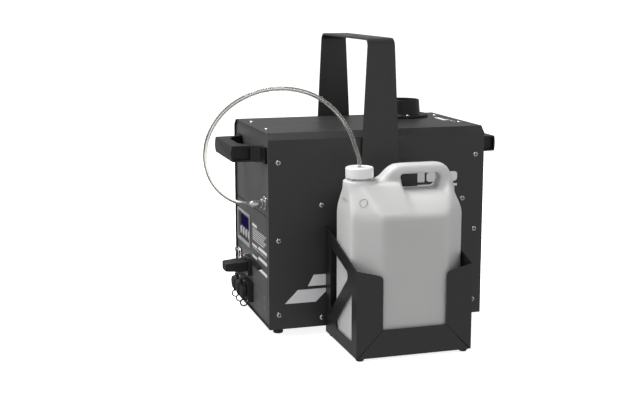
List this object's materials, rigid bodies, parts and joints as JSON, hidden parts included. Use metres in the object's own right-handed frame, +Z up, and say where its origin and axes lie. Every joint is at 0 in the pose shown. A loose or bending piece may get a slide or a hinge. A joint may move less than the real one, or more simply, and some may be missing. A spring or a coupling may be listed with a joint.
{
  "type": "fog machine",
  "caption": "Fog machine with a sheet-metal cabinet, hanging yoke, carrying handles, roof outlet, rear control panel, and a side basket with its fluid can and hose.",
  "frame": {"origin": "centre of the footprint, hose left out, on the surface that the feet stand on", "axes": "+Z up, +X from the rear control panel to the front end, -Y towards the side with the fluid can"},
  "size_m": [0.6174, 0.5038, 0.572],
  "materials": {
    "cover_paint": "fine textured powder coat, dark grey",
    "panel_paint": "fine textured powder coat, mid grey",
    "handle_plastic": "satin moulded, black",
    "foot_rubber": "matt black",
    "collar_plastic": "satin moulded, black",
    "yoke_paint": "fine textured powder coat, dark grey",
    "steel": "zinc plated",
    "knob_plastic": "satin moulded, black",
    "basket_paint": "fine textured powder coat, dark grey",
    "can_plastic": "natural white, slightly translucent",
    "cap_plastic": "white",
    "tube_plastic": "milky clear",
    "brass": "turned",
    "hose_plastic": "clear soft tube, slightly smoky",
    "nickel": "bright nickel plate",
    "bezel_plastic": "satin, light grey",
    "screen_face": "gloss, dark blue",
    "mask_plastic": "matt black",
    "button_plastic": "silver",
    "switch_plastic": "black",
    "rocker_plastic": "red",
    "boot_plastic": "clear soft boot",
    "inlet_plastic": "black",
    "plug_plastic": "black",
    "socket_plastic": "black",
    "flap_rubber": "matt black",
    "aluminium": "cast, plain",
    "wool": "mineral wool sleeve",
    "board": "green laminate",
    "fan_plastic": "black"
  },
  "bodies": {
    "cabinet": {"cabinet_cover": "cover_paint", "base_plate": "cover_paint", "rear_panel": "panel_paint", "control_panel": "panel_paint", "front_panel": "panel_paint", "rear_handle": "handle_plastic", "front_handle": "handle_plastic", "cabinet_foot_1": "foot_rubber", "cabinet_foot_2": "foot_rubber", "cabinet_foot_3": "foot_rubber", "cabinet_foot_4": "foot_rubber", "holder_foot_1": "foot_rubber", "holder_foot_2": "foot_rubber", "holder_foot_3": "foot_rubber", "holder_foot_4": "foot_rubber", "outlet_collar": "collar_plastic", "pivot_bolt_near": "steel", "heater_stand": "steel", "fluid_pump": "steel", "pivot_washer_near": "knob_plastic", "pivot_washer_far": "knob_plastic", "holder_back": "basket_paint", "holder_left_side": "basket_paint", "holder_right_side": "basket_paint", "holder_base": "basket_paint", "intake_tube": "tube_plastic", "outlet_nozzle": "brass", "fluid_hose": "hose_plastic", "hose_coupler": "nickel", "bulkhead_fitting": "nickel", "display_bezel": "bezel_plastic", "display_screen": "screen_face", "display_board": "mask_plastic", "switch_housing": "switch_plastic", "switch_boot": "boot_plastic", "power_inlet": "inlet_plastic", "socket_1": "socket_plastic", "socket_2": "socket_plastic", "socket_3": "socket_plastic", "heat_exchanger": "aluminium", "power_supply": "aluminium", "heat_insulation": "wool", "main_board": "board", "fan_housing": "fan_plastic"},
    "yoke": {"yoke": "yoke_paint"},
    "pivot_knob": {"pivot_knob_far": "knob_plastic"},
    "button_1": {"menu_button_1": "button_plastic"},
    "button_2": {"menu_button_2": "button_plastic"},
    "button_3": {"menu_button_3": "button_plastic"},
    "button_4": {"menu_button_4": "button_plastic"},
    "rocker": {"power_rocker": "rocker_plastic"},
    "plug": {"power_plug": "plug_plastic"},
    "flap_1": {"socket_cap_1": "flap_rubber"},
    "flap_2": {"socket_cap_2": "flap_rubber"},
    "flap_3": {"socket_cap_3": "flap_rubber"},
    "can": {"jerrycan": "can_plastic", "pickup_tube": "tube_plastic", "pickup_filter": "brass"},
    "cap": {"can_cap": "cap_plastic"},
    "fan": {"fan_rotor": "fan_plastic"}
  },
  "joints": [
    {"name": "yoke_tilt", "type": "hinge", "parent": "cabinet", "child": "yoke", "pos_m": [0, 0.07585, 0.287], "axis": [0, 1, 0], "range_deg": [-60, 60]},
    {"name": "pivot_knob_turn", "type": "hinge", "parent": "cabinet", "child": "pivot_knob", "pos_m": [0, 0.23585, 0.287], "axis": [0, 1, 0], "range_deg": [0, 540]},
    {"name": "button_1_press", "type": "slide", "parent": "cabinet", "child": "button_1", "axis": [1, 0, 0], "range_m": [0, 0.0015], "stiffness_N_per_m": 400, "springref_m": -0.0005},
    {"name": "button_2_press", "type": "slide", "parent": "cabinet", "child": "button_2", "axis": [1, 0, 0], "range_m": [0, 0.0015], "stiffness_N_per_m": 400, "springref_m": -0.0005},
    {"name": "button_3_press", "type": "slide", "parent": "cabinet", "child": "button_3", "axis": [1, 0, 0], "range_m": [0, 0.0015], "stiffness_N_per_m": 400, "springref_m": -0.0005},
    {"name": "button_4_press", "type": "slide", "parent": "cabinet", "child": "button_4", "axis": [1, 0, 0], "range_m": [0, 0.0015], "stiffness_N_per_m": 400, "springref_m": -0.0005},
    {"name": "rocker_tip", "type": "hinge", "parent": "cabinet", "child": "rocker", "pos_m": [-0.2125, 0.19085, 0.107], "axis": [0, -1, 0], "range_deg": [0, 14]},
    {"name": "plug_pull", "type": "slide", "parent": "cabinet", "child": "plug", "axis": [-1, 0, 0], "range_m": [0, 0.04]},
    {"name": "flap_1_open", "type": "hinge", "parent": "cabinet", "child": "flap_1", "pos_m": [-0.2319, 0.17385, 0.0715], "axis": [0, 1, 0], "range_deg": [0, 100]},
    {"name": "flap_2_open", "type": "hinge", "parent": "cabinet", "child": "flap_2", "pos_m": [-0.2319, 0.13585, 0.0715], "axis": [0, 1, 0], "range_deg": [0, 100]},
    {"name": "flap_3_open", "type": "hinge", "parent": "cabinet", "child": "flap_3", "pos_m": [-0.2319, 0.09785, 0.0715], "axis": [0, 1, 0], "range_deg": [0, 100]},
    {"name": "can_lift", "type": "slide", "parent": "cabinet", "child": "can", "axis": [0, 0, 1], "range_m": [0, 0.215], "deforming": ["fluid_hose"]},
    {"name": "cap_turn", "type": "hinge", "parent": "can", "child": "cap", "pos_m": [-0.073, -0.16225, 0.334], "axis": [0, 0, 1], "range_deg": [0, 540]},
    {"name": "fan_spin", "type": "hinge", "parent": "cabinet", "child": "fan", "pos_m": [0.2, 0.05585, 0.102], "axis": [1, 0, 0], "continuous": true}
  ]
}
